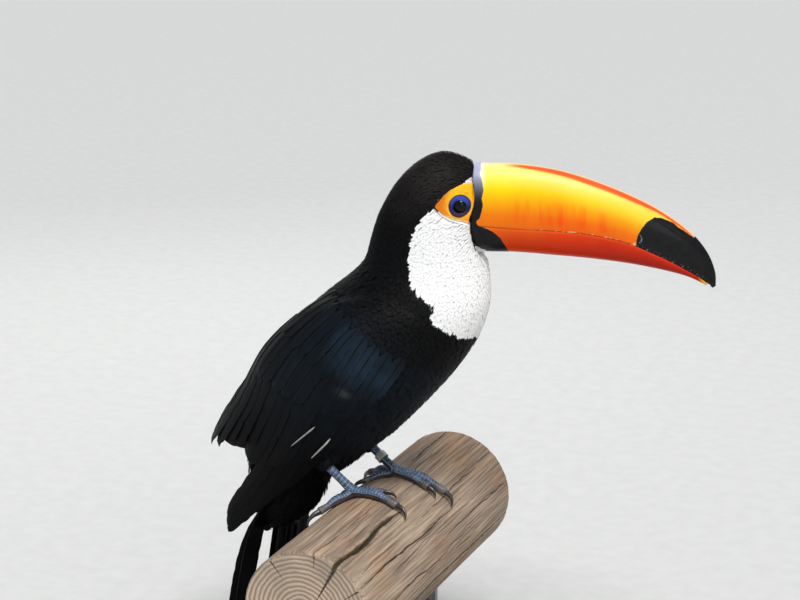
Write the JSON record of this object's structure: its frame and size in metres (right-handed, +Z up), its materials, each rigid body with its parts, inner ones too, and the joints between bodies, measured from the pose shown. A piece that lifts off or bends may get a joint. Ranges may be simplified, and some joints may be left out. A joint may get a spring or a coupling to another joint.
{
  "type": "toucan on perch, museum model",
  "caption": "Life-size still model of a toco toucan with a large orange bill, perched on a short round log over a flat display stand.",
  "frame": {"origin": "centre of the stand base's underside, under the middle of the perch", "axes": "+X the way the trunk faces, +Y the bird's left and along the perch, +Z up"},
  "size_m": [0.3808, 0.29, 0.436],
  "materials": {
    "plumage": "soft black feathers with a white throat, satin sheen",
    "bill": "waxy orange horn, red towards the edges, black tip and base",
    "eye": "wet black glass eye",
    "leg_skin": "scaled blue-grey skin",
    "claw": "dark polished horn",
    "band": "dull bare metal band",
    "log": "weathered grey-brown round wood with long cracks",
    "stand": "satin black",
    "rod": "dark brushed steel"
  },
  "bodies": {
    "root": {"head": "plumage", "neck": "plumage", "trunk": "plumage", "tail": "plumage", "wing_left": "plumage", "wing_right": "plumage", "thigh_left": "plumage", "thigh_right": "plumage", "bill_upper": "bill", "bill_lower": "bill", "eye_left": "eye", "eye_right": "eye", "leg_left": "leg_skin", "leg_right": "leg_skin", "claw_left_outer_front": "claw", "claw_left_inner_front": "claw", "claw_left_outer_back": "claw", "claw_left_inner_back": "claw", "claw_right_outer_front": "claw", "claw_right_inner_front": "claw", "claw_right_outer_back": "claw", "claw_right_inner_back": "claw", "leg_ring": "band", "perch": "log", "stand_base": "stand", "stand_rod_left": "rod", "stand_rod_right": "rod"}
  },
  "joints": []
}
